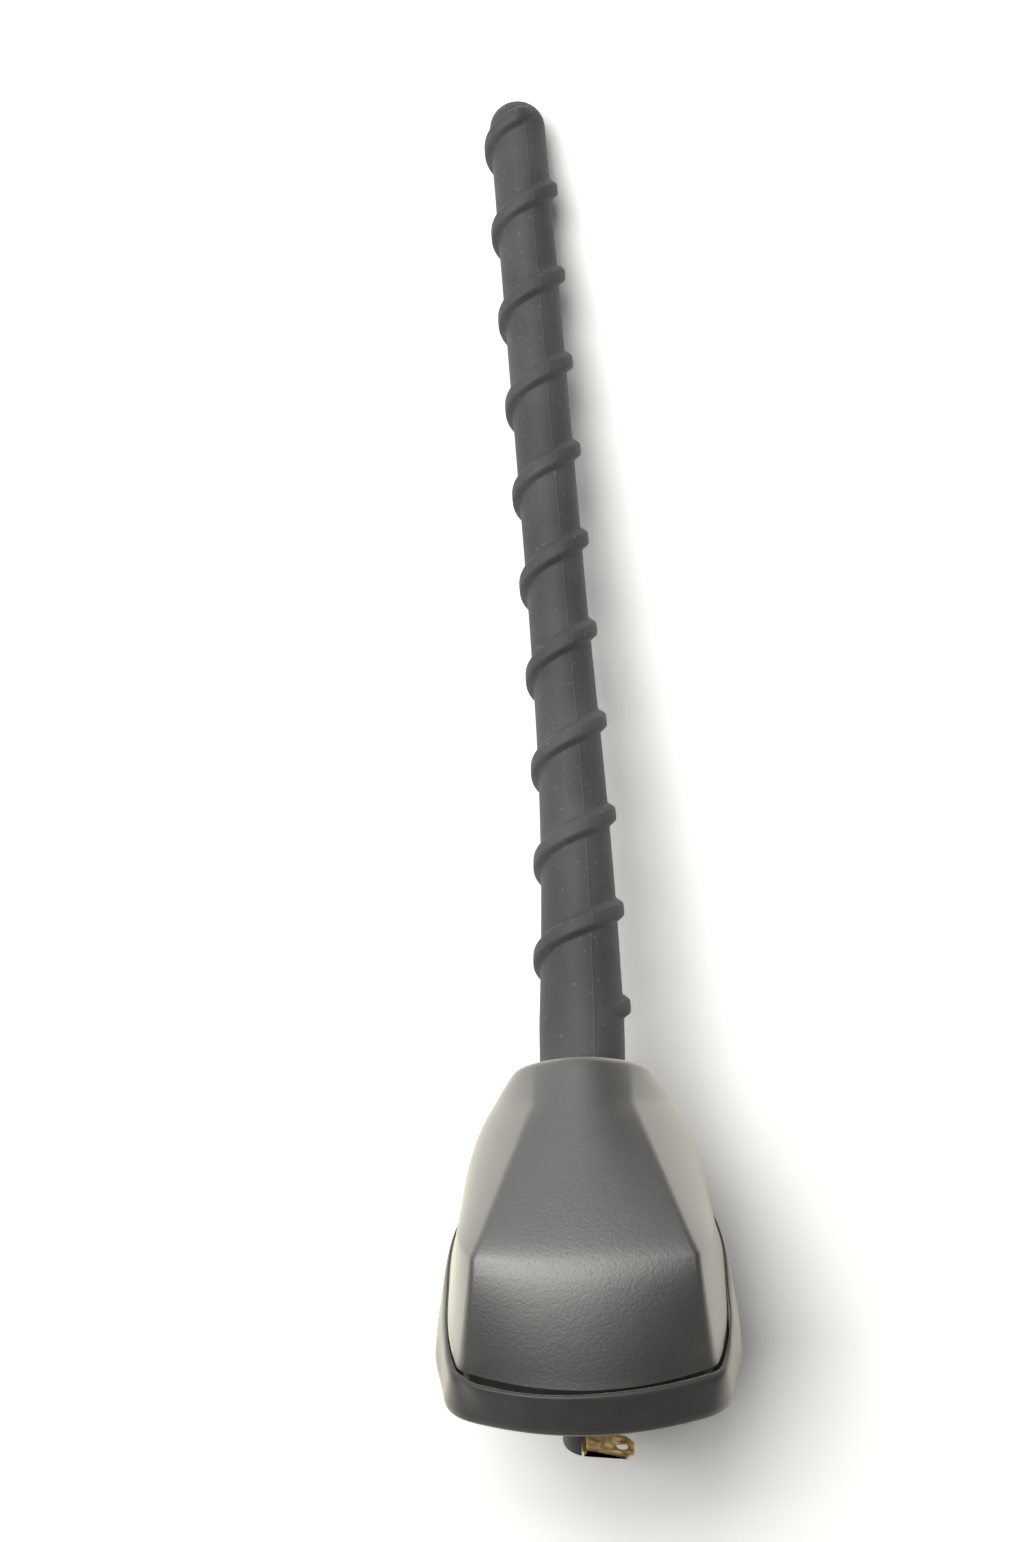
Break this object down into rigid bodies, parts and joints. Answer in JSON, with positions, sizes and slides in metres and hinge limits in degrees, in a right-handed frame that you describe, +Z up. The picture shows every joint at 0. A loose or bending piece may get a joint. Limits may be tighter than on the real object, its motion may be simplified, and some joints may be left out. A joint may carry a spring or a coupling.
{
  "type": "roof antenna",
  "caption": "Car roof antenna: a ribbed rubber rod mast leaning back from a sloping moulded foot on a rubber gasket, with a hollow fixing stud and a blade terminal.",
  "frame": {"origin": "on the axis of the fixing stud, in the plane of the roof that the gasket's underside rests on", "axes": "+Z up, away from the roof; -Y towards the blunt front of the foot, so the mast leans back towards +Y; +X to the side that the terminal blade points to"},
  "size_m": [0.0562, 0.197, 0.2092],
  "materials": {
    "cover_plastic": "dark grey, finely grained moulding, satin with pale grazing reflections",
    "gasket_rubber": "matt black rubber, slightly dusty",
    "mast_rubber": "dark grey matt rubber with pale specks and light scuffs",
    "seal_rubber": "matt black",
    "cast_zinc": "die cast grey metal, passivated",
    "plated_steel": "bright zinc plated",
    "blade_brass": "mottled, slightly tarnished brass with bright cut edges",
    "strip_brass": "satin brass",
    "socket_brass": "turned brass",
    "insulator_plastic": "matt near-black plastic",
    "sleeve_plastic": "natural off-white plastic",
    "sleeve_black": "thin black sleeving",
    "rod_fibre": "glass fibre rod, translucent straw colour",
    "copper_wire": "enamelled copper wire"
  },
  "bodies": {
    "base": {"cover": "cover_plastic", "gasket": "gasket_rubber", "base_casting": "cast_zinc", "cover_screws": "plated_steel", "fixing_stud": "plated_steel", "stud_insulator": "insulator_plastic", "insulator_seal": "seal_rubber", "terminal_blade": "blade_brass", "contact_strip": "strip_brass", "strip_rivet": "strip_brass", "strip_screw": "plated_steel", "socket_sleeve": "sleeve_plastic", "mast_socket": "socket_brass"},
    "seal": {"mast_seal": "seal_rubber"},
    "mast": {"mast_jacket": "mast_rubber", "mast_ferrule": "plated_steel", "mast_screw": "plated_steel", "mast_core": "rod_fibre", "mast_winding": "copper_wire", "winding_ring": "strip_brass", "winding_sleeve": "sleeve_black"}
  },
  "joints": [
    {"name": "mast_lift", "type": "slide", "parent": "base", "child": "seal", "axis": [0, 0.7071, 0.7071], "range_m": [0, 0.008]},
    {"name": "mast_turn", "type": "hinge", "parent": "seal", "child": "mast", "pos_m": [0, 0.0252, 0.0415], "axis": [0, 0.7071, 0.7071], "range_deg": [0, 2880]}
  ],
  "couplings": [
    {"joint": "mast_turn", "follows": "mast_lift", "rad_per_m": 6283.2}
  ]
}
